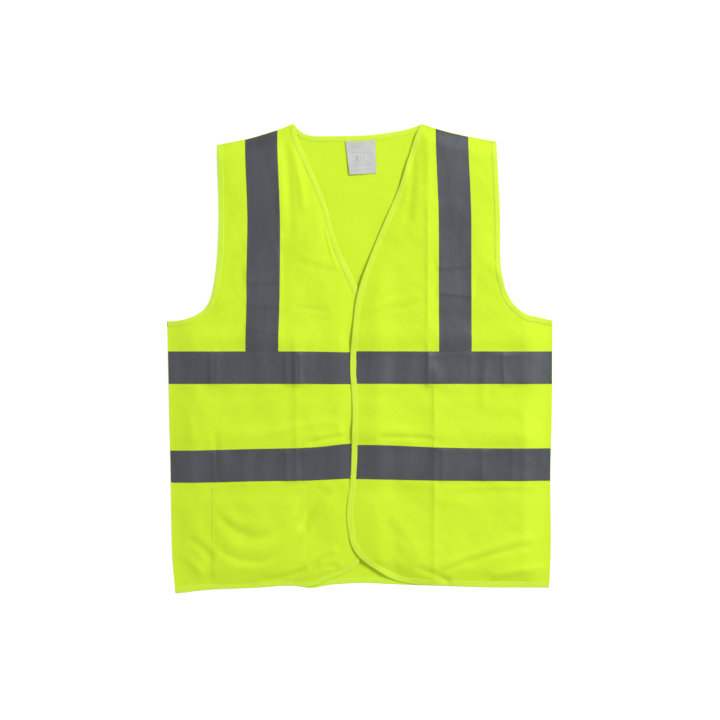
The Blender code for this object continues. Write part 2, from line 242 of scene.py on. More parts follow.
def panel_rows(inset):
    """Heights of the rows of a panel, closer where the outline runs along them."""
    turns = np.linspace(0, math.pi / 2, CORNER_ROWS)
    corner_y = HEM_Y + CORNER_RADIUS
    corner = corner_y - (CORNER_RADIUS - inset) * np.cos(turns)
    body = spaced(corner_y, UNDERARM_Y - inset)[1:]
    turns = np.linspace(0, math.pi / 2, ARMHOLE_ROWS)[1:]
    arm = UNDERARM_Y - inset + ARMHOLE_CURVE * (1 - np.cos(turns) ** (2 / ARMHOLE_POWER))
    top = spaced(arm[-1], TIP_Y)[1:]
    return np.concatenate([corner, body, arm, top])


def bent_rows(row_y, x):
    """The rows near the top bend up to follow the shoulder line and the back neck."""
    weight = smooth((row_y - BEND_FROM) / (TIP_Y - BEND_FROM))
    return row_y + weight * (shoulder_y(x) - TIP_Y)


def outer_x(row_y, inset):
    """Where a row of cloth ends at the side seam, or a little inside the armhole."""
    sewn = row_y <= UNDERARM_Y - inset
    return np.where(sewn, half_width(row_y), half_width(row_y + inset) - inset)


def front_shares(side, y, free, outer, counts):
    """Shares of the way across a front, closer together where it turns round its fold line."""
    low = np.maximum(np.abs(fold_x(side, y)) - FOLD_STRIP[0], free + FOLD_STRIP[0])
    high = low + sum(FOLD_STRIP)
    stops = (free, low, high, outer)
    parts = []
    for start, end, count in zip(stops, stops[1:], counts):
        parts.append(start + (end - start) * np.linspace(0, 1, count, endpoint=False))
    return (np.concatenate(parts + [outer], axis=1) - free) / (outer - free)


def front_pattern(side):
    """The points of a front's cloth. Its rows bend, so its free edge is found in a few rounds."""
    row_y = panel_rows(CLOTH_EDGE)[:, None]
    outer = outer_x(row_y, CLOTH_EDGE)
    share = front_shares(side, row_y, free_edge_x(row_y, CLOTH_EDGE), outer, CLOTH_COLUMNS)
    y = row_y + 0 * share
    for _ in range(12):
        free = free_edge_x(y, CLOTH_EDGE)
        x = free + (outer - free) * share
        y = bent_rows(row_y, np.minimum(x, SHOULDER_HALF))
    return SIDES[side] * x, y


def back_pattern():
    """The points of the back's cloth, tucked under the ribbon along the neck."""
    row_y = panel_rows(CLOTH_EDGE)[:, None]
    share = np.linspace(-1, 1, 190)[None, :]
    x = outer_x(row_y, CLOTH_EDGE) * share
    y = bent_rows(row_y, share * SHOULDER_HALF)
    tuck = CLOTH_EDGE * smooth((NECK_HALF - np.abs(share) * SHOULDER_HALF) / 0.004)
    return x, y - tuck * smooth((row_y - 0.3) / (TIP_Y - 0.3))


# ---- how the vest was laid out


def in_metres(table):
    """A table of rows in millimetres, in metres."""
    done = {}
    for name, rows in table.items():
        done[name] = [[round(value / 1000, 6) for value in row] for row in rows]
    return done


# A push moves the cloth near a point: (x, y, reach in x, reach in y, dx, dy), in millimetres.
# Every layer has the first ones, a front also those of its own free edge.
PUSHES = in_metres({
    "all": (
        (-300, -370, 50, 42, 5.4, -7),
        (-300, -265, 80, 80, 0.2, 0),
        (-120, -380, 75, 90, 0, 2.6),
        (-73, -360, 18, 30, 0, -3),
        (-115, -360, 30, 30, 0, 2),
        (0, -380, 70, 100, -1, 8.6),
        (110, -380, 80, 100, 0, 4.8),
        (270, -380, 90, 90, 1.2, 3),
        (295, -80, 80, 130, 2.8, 0),
        (295, -295, 80, 95, 4.6, 0),
        (236, 88, 30, 30, -1.6, 0.4),
        (276, 56, 20, 20, 0, 3.6),
        (-236, 84, 30, 32, 3.2, -4.2),
        (-290, -160, 110, 60, 0.6, -4),
        (0, -150, 70, 50, 0, 4),
        (-220, 130, 50, 50, -3, 0),
        (70, 350, 45, 50, 0, 5.2),
        (-75, 345, 25, 30, 0, -3),
        (-101, 357, 12, 16, 3, 4.2),
        (-165, 340, 40, 50, 0, -3.4),
        (-225, 330, 50, 60, 1, -1.8),
        (225, 330, 45, 70, -1, 2.6),
        (-150, 10, 45, 70, -3.6, 0),
    ),
    "left": (
        (20, -345, 45, 55, 5, 9.5),
        (-14, -245, 25, 45, -7.5, 0),
        (-14, -85, 25, 40, 1.4, 0),
        (-14, -10, 25, 45, -3.4, 0),
        (60, -140, 80, 30, 0, 2),
        (60, 270, 30, 50, 3, 0),
    ),
    "right": (
        (-25, -350, 42, 50, -6, 8),
        (-15, -325, 30, 35, 0, -8.5),
        (-10, -148, 40, 40, 0, 3.4),
        (-10, 0, 50, 40, 0, -1.4),
        (-30, 175, 30, 65, -8.5, 0),
        (-12, 140, 30, 70, -4, 0),
    ),
    "back": (),
})
TOP_SHIFT = -0.0045  # the neck and the shoulders lie a little to the wearer's right


def laid_out(panel, x, y):
    """Where a point of the pattern lies on the floor, seen from above."""
    dx = TOP_SHIFT * smooth((y - 0.20) / 0.15)
    dy = 0 * y
    for at_x, at_y, reach_x, reach_y, push_x, push_y in PUSHES["all"] + PUSHES[panel]:
        share = bell((x - at_x) / reach_x) * bell((y - at_y) / reach_y)
        dx = dx + push_x * share
        dy = dy + push_y * share
    return x + dx, y + dy


# ---- creases

# A crease runs from one point to another: (x, y, end x, end y, width, height, bow), in millimetres.
# Its width is the reach on each side, a height below zero makes a valley, and bow bends it sideways.
CREASES = in_metres({
    "left": (
        (123, -337, 265, -290, 5, -1.8, 4),
        (123, -328, 260, -278, 9, 2, 4),
        (85, -330, 140, -352, 6, -1.6, 2),
        (200, -342, 290, -326, 8, 2, 3),
        (30, -128, 125, -129, 5.5, -1.6, 2),
        (2, 66, 105, 96, 6, 1, 4),
        (25, 85, 90, 110, 5, -0.7, 2),
        (56, 72, 104.6, 94, 4, -1, -3),
        (190, -80, 195, 0, 8, 1, 2),
        (250, -60, 248, -300, 12, 1.1, 4),
        (85, 330, 70, 200, 9, -1.5, 3),
        (108, 345, 103, 240, 8, 1, 3),
        (195, 150, 255, 60, 9, 1.2, 8),
        (40, -240, 95, -335, 12, 0.7, 10),
        (15, -200, 55, -320, 11, -0.6, 10),
        (140, -205, 270, -200, 6, 0.8, 3),
    ),
    "right": (
        (-223, -110, -221, -190, 6, -1.4, 1),
        (-221, -243, -85, -235, 10, -1.9, -40),
        (-205, -243, -95, -225, 13, 1.5, -26),
        (-220, -296, -83, -268, 8.5, -2, -34),
        (-215, -279, -83, -250, 10, 1.5, -32),
        (-152, -348, -60, -320, 7, -2, -6),
        (-90, -268, -48, -205, 11, -2.6, 6),
        (-85, -330, -30, -300, 8, 1.9, 6),
        (-65, -335, -25, -330, 6, -1.5, 2),
        (-80, -134, -12, -127, 4.5, -2, 2),
        (-140, -118, -30, -100, 8, 1.4, 4),
        (-97, 149, -20, 133, 4, -1.4, -3),
        (-93, 157, -20, 142, 6, 1, -3),
        (-47.3, 204, -25, 140, 3.6, 0.8, 0),
        (-104, 75, -45, 70, 5, -0.8, 2),
        (-113, 340, -108, 180, 9, -1.7, 3),
        (-100, 330, -85, 220, 8, 1.5, 3),
        (-265, -280, -226, -315, 8, -2, 4),
        (-285, -300, -240, -335, 8, 1.6, 4),
        (-270, -70, -260, -130, 10, 1.1, 4),
    ),
    "back": (
        (-30, 320, -20, 80, 20, 0.3, 8),
        (40, 300, 20, 120, 20, 0.3, 8),
    ),
})

# A pressed fold is a step: (x, y, end x, end y, height, reach of its steep side, reach of the other
# side), in millimetres. The steep side is to the right of the way from the start to the end.
FOLDS = in_metres({
    "left": (
        (115, -20, 115, -350, 3.8, 18, 70),
        (104.6, 235, 104.6, -45, 2.6, 11.5, 35),
        (106, 6, 106, -44, 2.4, 5.5, 18),
        (170, 6, 170.5, -44, 0.9, 7, 24),
        (220, 6, 221.5, -44, 2.2, 10, 34),
        (127, -142, 126.2, -192, 1.5, 6, 24),
        (188, -142, 188.5, -192, 1.4, 8, 24),
        (233.5, -142, 234.5, -192, 1.1, 8, 24),
        (119, 136, 175, 143, 1.2, 6, 20),
        (119, 100, 175, 94, 1.4, 7, 24),
    ),
    "right": (
        (-97.8, 30, -97, -200, 3, 14, 32),
        (-112, 6, -111, -44, 1.9, 5, 14),
        (-98.5, 10, -98.5, -44, 1.8, 5, 12),
        (-91.5, 6, -91, -44, 1.3, 4, 14),
        (-231, 6, -229, -44, 1.8, 6, 18),
        (-219.5, 6, -220, -44, 1, 4, 16),
        (-225, -144, -223, -192, 1.5, 4, 18),
        (-113.5, -144, -112, -192, 2, 5, 20),
        (-86, -144, -84, -192, 0.7, 5, 20),
        (-175, 166, -119, 187, 1.3, 5, 18),
        (-175, 129, -119, 149, 1.3, 5, 18),
        (-175, 115, -119, 117, 1.4, 5, 18),
        (-175, 81, -119, 78, 1, 5, 18),
        (-175, 46, -119, 36, 1, 5, 18),
    ),
    "back": (),
})
FOLD_TIP = 0.0012  # how round the ridge is
FOLD_STEEP = 0.18  # a quarter of the steep side is this much steeper
CREASE_ENDS = (0.22, 0.35)  # share of the length over which an end fades, and where it starts
FOLD_ENDS = (0.12, 0.5)


def arrays(x, y):
    """Both as arrays of numbers of one shape."""
    return np.broadcast_arrays(np.asarray(x, float), np.asarray(y, float))


def line_places(start, end, x, y):
    """Share of the way along a line, and the distance to its left."""
    run = np.subtract(end, start)
    length = np.hypot(*run)
    run = run / length
    along = ((x - start[0]) * run[0] + (y - start[1]) * run[1]) / length
    return along, (y - start[1]) * run[0] - (x - start[0]) * run[1]


def fading(along, ends):
    """1 along a line and 0 beyond its two ends."""
    fade, start = ends
    return smooth(along / fade + start) * smooth((1 - along) / fade + start)


def crease_heights(panel, x, y):
    """Height of a panel's creases and pressed folds. Each fades out towards its two ends."""
    total = 0 * x
    for x1, y1, x2, y2, width, height, bow in CREASES[panel]:
        along, across = line_places((x1, y1), (x2, y2), x, y)
        middle = bow * 4 * np.clip(along, 0, 1) * (1 - np.clip(along, 0, 1))
        narrow = 0.75 + 0.5 * np.abs(along - 0.5)
        total = total + height * fading(along, CREASE_ENDS) * bell((across - middle) / (width * narrow))
    for x1, y1, x2, y2, height, steep_reach, reach in FOLDS[panel]:
        along, across = line_places((x1, y1), (x2, y2), x, y)
        away = np.hypot(across, FOLD_TIP) - FOLD_TIP
        steep = 0.75 * np.exp(-away / steep_reach)
        steep = steep + 0.25 * np.exp(-away / (steep_reach * FOLD_STEEP))
        profile = np.where(across > 0, np.exp(-away / reach), steep)
        total = total + height * fading(along, FOLD_ENDS) * profile
    return total


def waves(x, y, seed, amount, lengths):
    """Gentle waviness: crossed sine waves whose lengths and directions come from a seeded draw."""
    draw = np.random.default_rng(seed)
    total = 0 * x
    for length in lengths:
        turn, phase, drift = draw.uniform(0, 2 * math.pi, 3)
        run = x * math.cos(turn) + y * math.sin(turn)
        side = y * math.cos(turn) - x * math.sin(turn)
        bend = 0.3 * length * np.sin(side * 2 * math.pi / (2.7 * length) + drift)
        total = total + np.sin((run + bend) * 2 * math.pi / length + phase)
    return amount * total / math.sqrt(len(lengths))


def tape_mask(x, y):
    """1 on the tapes, where the cloth is held flatter, and 0 away from them."""
    mask = 0 * x
    reach = TAPE_WIDTH / 2 + 0.004
    for top in BAND_TOPS.values():
        mask = np.maximum(mask, smooth((reach - np.abs(y - top + TAPE_WIDTH / 2)) / 0.008))
    brace = smooth((reach - np.abs(np.abs(x) - BRACE_MIDDLE)) / 0.008)
    return np.maximum(mask, brace * smooth((y - BAND_TOPS["upper"]) / 0.004))


def joined(x, y):
    """1 where front and back are sewn together, at the sides and the shoulders, and 0 elsewhere."""
    side = 1 - smooth((side_x(y) - np.abs(x)) / SIDE_REACH)
    side = side * (1 - smooth((y - UNDERARM_Y + 0.012) / SEAM_END))
    shoulder = 1 - smooth((shoulder_y(x) - y) / SHOULDER_REACH)
    shoulder = shoulder * smooth((np.abs(x) - NECK_HALF + SEAM_END) / SEAM_END)
    return np.maximum(side, shoulder)


def blousing(x, y):
    """The cloth bulges above each band, where its weight rests, and sinks a little below it."""
    total = 0 * x
    for top in BAND_TOPS.values():
        share = 0.75 + 0.25 * np.sin(x * 31 + top * 40)
        total = total + BULGE * share * bell((y - top - BULGE_MIDDLE) / BULGE_REACH)
        total = total - SINK * share * bell((y - top + TAPE_WIDTH + SINK_MIDDLE) / SINK_REACH)
    return total


# Zones at the lap: half width and how far it fades, then height and how far it fades
LAP_CLIMB = (0.058, 0.036, 0.19, 0.08)  # the left front climbs over the right one
LAP_SHARED = (0.060, 0.040, 0.20, 0.08)  # both fronts have the same waves
LAP_COVERED = (0.032, 0.014, 0.16, 0.05)  # the right front has no creases of its own


def at_lap(x, y, zone):
    """1 in a zone at the lap, and 0 outside it or above the crossing of the V."""
    half, fade, top, top_fade = zone
    return smooth((half - x) / fade) * smooth((top - y) / top_fade)


# Waves of a panel: seed and height, then the lengths of all panels' waves
WAVINESS = {"left": (11, 0.00052), "right": (23, 0.00058), "back": (5, 0.00014)}
LONG_WAVES = (0.15, 0.11, 0.083, 0.061)
RIPPLE, SHORT_WAVES = 0.00011, (0.034, 0.027, 0.021)
LAP_SEED, LAP_WAVE, LAP_LENGTHS = 31, 0.0004, (0.13, 0.09, 0.07)
TAPE_CALM = 0.55  # share of the waves that a tape takes away
SEAM_CALM, BACK_CALM = 0.75, 0.5  # shares of the relief that a seam and the floor take away
NORMAL_STEP = 0.0008  # between the points that give a surface's normal


class Cloth:
    """Where a point of the flat pattern lies, for one panel of the vest."""

    def __init__(self, panel):
        self.panel = panel
        self.field = None  # how far the simulation moved each point of its lattice
        self.corner = None  # the first of those points

    def settled(self, x, y):
        """How far the simulation moved the cloth, from its lattice of points, by cubic splines."""
        if self.field is None:
            return np.zeros(x.shape + (3,))
        u = np.clip((x - self.corner[0]) / GRID, 1.0, self.field.shape[1] - 2.001)
        v = np.clip((y - self.corner[1]) / GRID, 1.0, self.field.shape[0] - 2.001)
        column, row = np.floor(u).astype(int), np.floor(v).astype(int)
        total = np.zeros(x.shape + (3,))
        for j, down in enumerate(spline(v - row)):
            for i, across in enumerate(spline(u - column)):
                near_row = np.minimum(row + j - 1, self.field.shape[0] - 1)
                near_column = np.minimum(column + i - 1, self.field.shape[1] - 1)
                total += (down * across)[..., None] * self.field[near_row, near_column]
        return total

    def relief(self, x, y):
        """Height of the creases and waves, which the two fronts share where they lap."""
        seed, amount = WAVINESS[self.panel]
        waviness = waves(x, y, seed, amount, LONG_WAVES)
        waviness = waviness + waves(x, y, seed + 1, RIPPLE, SHORT_WAVES)
        creases = crease_heights(self.panel, x, y)
        if self.panel != "back":
            lap = at_lap(np.abs(x), y, LAP_SHARED)
            shared = waves(x, y, LAP_SEED, LAP_WAVE, LAP_LENGTHS)
            waviness = waviness + (shared - waviness) * lap
            creases = creases + blousing(x, y)
        if self.panel == "right":
            creases = creases * (1 - at_lap(np.abs(x), y, LAP_COVERED))
        return creases + waviness * (1 - TAPE_CALM * tape_mask(x, y))

    def at(self, x, y):
        """The middle surface of the cloth."""
        x, y = arrays(x, y)
        lie_x, lie_y = laid_out(self.panel, x, y)
        moved = self.settled(x, y)
        relief = self.relief(x, y) + moved[..., 2]
        together = joined(x, y)
        if self.panel == "back":
            z = BACK_Z + (1 - BACK_CALM) * np.abs(relief)
        else:
            gap = OPEN_GAP + (SEAM_GAP - OPEN_GAP) * together
            edge = np.abs(x) - np.where(x * SIDES[self.panel] > 0, 1, -1) * free_edge_x(y)
            at_edge = bell(edge / EDGE_REACH) * EDGE_DROP
            gap = gap - HEM_DROP * (1 - smooth((y - HEM_Y) / HEM_REACH)) * (1 - together)
            z = gap - at_edge * (1 - together) + relief * (1 - SEAM_CALM * together) - SEAM_GAP
            z = BACK_Z + SEAM_GAP + REST_SOFTNESS * np.logaddexp(0, z / REST_SOFTNESS)
            near_fold = 1 - smooth((np.abs(x - fold_x(self.panel, y)) - FOLD_NEAR) / FOLD_FAR)
            above = np.logaddexp(0, (z - FOLD_CEILING) / FOLD_SOFTNESS)
            z = z - near_fold * FOLD_SOFTNESS * above
        if self.panel == "left":
            z = z + LAP_LIFT * at_lap(x, y, LAP_CLIMB)
        return np.stack([lie_x + moved[..., 0], lie_y + moved[..., 1], z], axis=-1)

    def on(self, x, y, lift):
        """A point at a height above the middle surface, along its normal."""
        x, y = arrays(x, y)
        point = self.at(x, y)
        aside, ahead = self.at(x + NORMAL_STEP, y), self.at(x, y + NORMAL_STEP)
        normal = np.cross(aside - point, ahead - point)
        normal /= np.linalg.norm(normal, axis=-1, keepdims=True)
        return point + normal * np.asarray(lift, float)[..., None]


def spline(t):
    """The four weights of a uniform cubic B-spline."""
    return (
        (1 - t) ** 3 / 6,
        (3 * t**3 - 6 * t**2 + 4) / 6,
        (-3 * t**3 + 3 * t**2 + 3 * t + 1) / 6,
        t**3 / 6,
    )


# ---- cloth simulation

SETTLE_FRAMES = 24
HELD_FROM = 0.55  # share of joining from which the simulated cloth is held
GRID = 0.006  # pitch of the simulated cloth
MARGIN = 3  # steps of the grid past the outline
START_Z = 0.0022
PRESSED = 0.8  # share of the creases that the cloth starts with
START_WAVE, START_LENGTHS = 0.0005, (0.06, 0.045, 0.036)
SWELL, TAPE_HOLD = 0.008, 0.8  # how much too large the cloth is, and what a tape takes off that
TOUCH = 0.001  # distance at which the cloth meets what it lies on
LAP_HOLD, LAP_HOLD_REACH = 0.85, 0.045  # share of its move that the cloth gives up at the lap
MOVE_LIMITS = (0.0015, 0.0015, 0.0025)  # of what the simulation may move a point, by axis
KNIT_CLOTH = {
    "quality": 5,
    "mass": 0.02,
    "tension_stiffness": 12,
    "compression_stiffness": 12,
    "shear_stiffness": 6,
    "bending_stiffness": 0.6,
    "air_damping": 4,
    "vertex_group_mass": "held",
    "vertex_group_shrink": "swell",
    "shrink_min": 0.0,
    "shrink_max": -SWELL,
}


def add_group(thing, name, weights):
    group = thing.vertex_groups.new(name=name)
    for number, weight in weights:
        group.add([int(number)], float(weight), "REPLACE")


def carried_out(moved, inside):
    """The moves as a field on the whole grid, carried past the outline and smoothed a little."""
    field = np.zeros(inside.shape + (3,))
    field[inside] = moved
    known = inside.astype(float)
    for _ in range(MARGIN + 2):
        total = np.zeros_like(field)
        count = np.zeros_like(known)
        for dj in (-1, 0, 1):
            for di in (-1, 0, 1):
                total += np.roll(field * known[..., None], (dj, di), (0, 1))
                count += np.roll(known, (dj, di), (0, 1))
        fresh = (known == 0) & (count > 0)
        field[fresh] = total[fresh] / count[fresh][:, None]
        known[fresh] = 1
    for _ in range(3):
        for line in (0, 1):
            field = (np.roll(field, 1, line) + 2 * field + np.roll(field, -1, line)) / 4
    return field


def simulate(cloth, seed):
    """Settles a lattice of a panel's cloth, a little too large for its outline, on a plane.

    The sides, the shoulders and the tapes hold the cloth; between them it buckles into soft waves.
    """
    side = SIDES.get(cloth.panel, 0)
    low_x = -CHEST_HALF if side <= 0 else -LAP_HALF
    high_x = CHEST_HALF if side >= 0 else LAP_HALF
    xs = np.arange(low_x - MARGIN * GRID, high_x + (MARGIN + 0.5) * GRID, GRID)
    ys = np.arange(HEM_Y - MARGIN * GRID, NECK_Y + (MARGIN + 0.5) * GRID, GRID)
    x, y = np.meshgrid(xs, ys)
    inside = (np.abs(x) <= half_width(y)) & (y >= HEM_Y) & (y <= shoulder_y(x))
    if side:
        inside &= x * side >= free_edge_x(np.clip(y, HEM_Y + 0.002, NECK_Y))
    pressed = crease_heights(cloth.panel, x, y) * PRESSED
    start_z = START_Z + pressed + waves(x, y, seed, START_WAVE, START_LENGTHS)
    points = np.stack([x, y, start_z], axis=-1)[inside]
    numbers = np.full(inside.shape, -1)
    numbers[inside] = np.arange(inside.sum())
    lattice = new_object("lattice", new_mesh("lattice", points.tolist(), quads(numbers)))
    held = np.flatnonzero(joined(x, y)[inside] > HELD_FROM)
    add_group(lattice, "held", ((number, 1.0) for number in held))
    add_group(lattice, "swell", enumerate((1 - TAPE_HOLD * tape_mask(x, y))[inside]))

    rest = new_object("rest", square("rest", 0.5))
    rest.modifiers.new("Collision", "COLLISION")
    rest.collision.thickness_outer = TOUCH
    rest.collision.cloth_friction = 8.0
    knit = lattice.modifiers.new("Cloth", "CLOTH")
    for setting, value in KNIT_CLOTH.items():
        setattr(knit.settings, setting, value)
    knit.collision_settings.distance_min = TOUCH
    knit.collision_settings.collision_quality = 3
    knit.point_cache.frame_start = 1
    knit.point_cache.frame_end = SETTLE_FRAMES
    scene = bpy.context.scene
    for number in range(1, SETTLE_FRAMES + 1):
        scene.frame_set(number)
    settled = lattice.evaluated_get(bpy.context.evaluated_depsgraph_get()).to_mesh()
    after = np.zeros(len(points) * 3)
    settled.vertices.foreach_get("co", after)
    after = after.reshape(-1, 3)
    moved = after - points
    moved[:, 2] = after[:, 2] - pressed[inside]
    moved[:, 2] -= moved[:, 2].mean()
    for axis, limit in enumerate(MOVE_LIMITS):
        moved[:, axis] = np.clip(moved[:, axis], -limit, limit)
    bpy.data.objects.remove(lattice)
    bpy.data.objects.remove(rest)
    scene.frame_set(1)
    cloth.field = carried_out(moved, inside)
    cloth.field[..., 2] *= 1 - LAP_HOLD * bell(x / LAP_HOLD_REACH)
    cloth.corner = (xs[0], ys[0])


# ---- meshes

RIM_SHARE = 0.12  # of the outermost quads
SKIN = 0.00013  # thickness of a ribbon
TAPE_STEP = 0.00040  # rise of a ribbon over the end of a tape
WANDER, WANDER_STEP = 0.05, 0.011  # change of a ribbon's width, as a share, and its spacing
SCALLOP, SCALLOP_PITCH = 0.0002, 0.0062  # small waves of its inner border
PUCKER, PUCKER_PITCH = 0.00006, 0.0060  # and of its faces
THREAD_BENDS = ((-0.5, -0.00012), (-0.28, 0.00008), (0.28, 0.00008), (0.5, -0.00012))


def add_piece(name, points, faces, look, pattern=None, walls=()):
    """A shown piece. Its faces are shaded smooth but for the narrow walls round a thin layer."""
    mesh = new_mesh(name, np.asarray(points, float).tolist(), faces)
    rounded = np.ones(len(faces), bool)
    rounded[list(walls)] = False
    mesh.polygons.foreach_set("use_smooth", rounded)
    if pattern is not None:
        kept = mesh.attributes.new("pattern", "FLOAT_VECTOR", "POINT")
        kept.data.foreach_set("vector", np.asarray(pattern, np.float32).ravel())
    mesh.materials.append(look)
    mesh.update()
    return new_object(name, mesh)


def place(piece, body, slot, *nodes):
    """Makes a piece ride on a body and stand for its CAD nodes; its slot is not used.

    For a body that is a side, the piece's transform is only baked into its mesh, and it rides on no
    body.
    """
    if body in SIDES:
        run = Vector((fold_x(body, HEM_Y) - fold_x(body, NECK_Y), HEM_Y - NECK_Y, 0)).normalized()
        on_line = Vector((fold_x(body, NECK_Y), NECK_Y, FOLD_AXIS_Z))
        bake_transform(piece)
    else:
        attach(piece, body)
    if nodes:
        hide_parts(*nodes)


def with_rims(grid):
    """The grid with one more row or column close to each border, which keeps its shading even."""
    for _ in range(2):
        near = grid[:1] + (grid[1:2] - grid[:1]) * RIM_SHARE
        far = grid[-1:] + (grid[-2:-1] - grid[-1:]) * RIM_SHARE
        grid = np.concatenate([grid[:1], near, grid[1:-1], far, grid[-1:]]).T
    return grid


def closed_layer(name, x, y, top, bottom, look, flat_rim=True):
    """A thin solid between two sheets of points, whose places on the flat pattern are x, y."""
    facing_up = np.cross(top[0, 1] - top[0, 0], top[1, 0] - top[0, 0])[2] > 0
    count = x.size
    grid = np.arange(count).reshape(x.shape)
    faces = quads(grid, not facing_up) + quads(grid + count, facing_up)
    rim = np.concatenate([grid[0], grid[1:, -1], grid[-1, -2::-1], grid[-2:0:-1, 0]]).tolist()
    for a, b in zip(rim, rim[1:] + rim[:1]):
        faces.append([b, a, a + count, b + count] if facing_up else [a, b, b + count, a + count])
    points = np.concatenate([top.reshape(-1, 3), bottom.reshape(-1, 3)])
    flat = np.stack([x, y, 0 * x], axis=-1).reshape(-1, 3)
    walls = range(len(faces) - len(rim), len(faces)) if flat_rim else ()
    return add_piece(name, points, faces, look, np.concatenate([flat, flat]), walls)


def slab(name, cloth, x, y, lift, thickness, look):
    """A thin closed layer whose middle is at a height above a cloth."""
    x, y, lift, thickness = (with_rims(grid) for grid in np.broadcast_arrays(x, y, lift, thickness))
    top = cloth.on(x, y, lift + thickness / 2)
    bottom = cloth.on(x, y, lift - thickness / 2)
    return closed_layer(name, x, y, top, bottom, look)


def even_path(points, pitch):
    """The line with points at even distances, the ways to its left and how far along they are."""
    points = np.asarray(points, float)
    legs = np.hypot(*np.diff(points, axis=0).T)
    places = np.concatenate([[0], np.cumsum(legs)])
    wanted = np.linspace(0, places[-1], max(3, round(places[-1] / pitch) + 1))
    line = np.stack([np.interp(wanted, places, points[:, k]) for k in (0, 1)], axis=-1)
    run = np.gradient(line, axis=0)
    run /= np.linalg.norm(run, axis=1, keepdims=True)
    return line, np.stack([-run[:, 1], run[:, 0]], axis=-1), wanted


def beside(line, left, distance):
    """Points at distances to the left of each point of a line."""
    return tuple(line[:, k, None] + left[:, k, None] * distance for k in (0, 1))


def trim_profile():
    """Cross-section of a ribbon folded round an edge: (distance in from the edge, height)."""
    w, h, skin = TRIM_WIDTH, TRIM_HALF, SKIN
    outer = [
        (w, 0.64 * h), (0.93 * w, 0.77 * h), (0.8 * w, 0.92 * h), (0.5 * w, h),
        (0.2 * w, h), (0.07 * w, 0.8 * h), (0.01 * w, 0.42 * h),
    ]
    inner = [
        (w, 0.64 * h - skin), (0.8 * w, 0.92 * h - skin), (0.5 * w, h - skin),
        (0.2 * w, h - skin), (0.11 * w, 0.5 * h),
    ]
    shell = outer + [(0.0, 0.0)] + [(s, -z) for s, z in reversed(outer)]
    profile = np.array(shell + [(s, -z) for s, z in inner] + list(reversed(inner)))
    return profile, (len(shell) - 1, len(profile) - 1)


def over_tape(x, y, share):
    """The ribbon lies on the end of a tape, a share of its width in from the edge."""
    return TAPE_STEP * tape_mask(x, y) * smooth((share - 0.45) / 0.4)


def trim(name, cloth, path, inward, seed, pitch=TRIM_PITCH):
    """A bound edge. inward is 1 if the cloth is to the left of the path and -1 if to the right."""
    line, left, run = even_path(path, pitch)
    run = run[:, None]
    profile, walls = trim_profile()
    s = profile[None, :, 0] + 0 * run
    h = profile[None, :, 1] + 0 * run
    share = s / TRIM_WIDTH
    draw = np.random.default_rng(seed)
    marks = np.arange(0, run[-1, 0] + 0.02, WANDER_STEP)
    wander = np.interp(run, marks, draw.uniform(-1, 1, len(marks)))
    scallop = SCALLOP * np.sin(run * 2 * math.pi / SCALLOP_PITCH)
    s = s * (1 + WANDER * wander) + scallop * (1 - share)
    pucker = PUCKER * np.sin(run * 2 * math.pi / PUCKER_PITCH + 0.8 * wander)
    h = h + pucker * np.sign(h) * np.clip(share * 1.6, 0, 1) * (share < 0.98)
    h = h + (h > 0) * over_tape(line[:, 0, None], line[:, 1, None], share)
    x, y = beside(line, inward * left, s)
    grid = np.arange(s.size).reshape(s.shape)
    faces = quads(np.column_stack([grid, grid[:, 0]]), inward < 0)
    faces += [grid[0, ::-inward].tolist(), grid[-1, ::inward].tolist()]
    flat_faces = [len(faces) - 2, len(faces) - 1] + grid[:-1, walls].ravel().tolist()
    flat = np.stack([x, y, h], axis=-1).reshape(-1, 3)
    return add_piece(name, cloth.on(x, y, h).reshape(-1, 3), faces, RIBBON, flat, flat_faces)


STITCHES = {}  # ends of the threads, by group


def stitch_row(group, cloth, path, lift, pitch=STITCH_PITCH, length=STITCH_LENGTH, down=False):
    """Stitches in a line: short threads that come out of the cloth and go back in.

    THREAD_BENDS gives each one's bends, as a share of its length and a height above the lift.
    """
    line, left, _ = even_path(path, pitch)
    line = (line[1:] + line[:-1]) / 2
    way = np.stack([left[:-1, 1], -left[:-1, 0]], axis=-1)
    sign = -1 if down else 1
    places = []
    for share, above in THREAD_BENDS:
        at = line + way * share * length
        raised = lift(at[:, 0], at[:, 1]) if callable(lift) else lift
        places.append(cloth.on(at[:, 0], at[:, 1], sign * (raised + above) + 0 * at[:, 0]))
    STITCHES.setdefault(group, []).append(np.stack(places, axis=1))


def add_stitches(group, look):
    """Joins the stitches of a group into one mesh. Each is a thread with pointed ends."""
    sets = np.concatenate(STITCHES[group])
    run = sets[:, 3] - sets[:, 0]
    run /= np.linalg.norm(run, axis=1, keepdims=True)
    side = np.cross(run, (0, 0, 1))
    side /= np.linalg.norm(side, axis=1, keepdims=True)
    up = np.cross(side, run)
    rings = []
    for k in (1, 2):
        for n in range(STITCH_SIDES):
            turn = 2 * math.pi * n / STITCH_SIDES
            rings.append(sets[:, k] + STITCH_RADIUS * (math.cos(turn) * side + math.sin(turn) * up))
    points = np.stack([sets[:, 0]] + rings + [sets[:, 3]], axis=1)
    one = []
    for n in range(STITCH_SIDES):
        m = (n + 1) % STITCH_SIDES
        a, b = 1 + n, 1 + m
        c, d = a + STITCH_SIDES, b + STITCH_SIDES
        one += [[0, b, a], [a, b, d, c], [c, d, 2 * STITCH_SIDES + 1]]
    starts = range(0, len(sets) * points.shape[1], points.shape[1])
    faces = [[start + v for v in face] for start in starts for face in one]
    return add_piece(group, points.reshape(-1, 3), faces, look)


# ---- materials


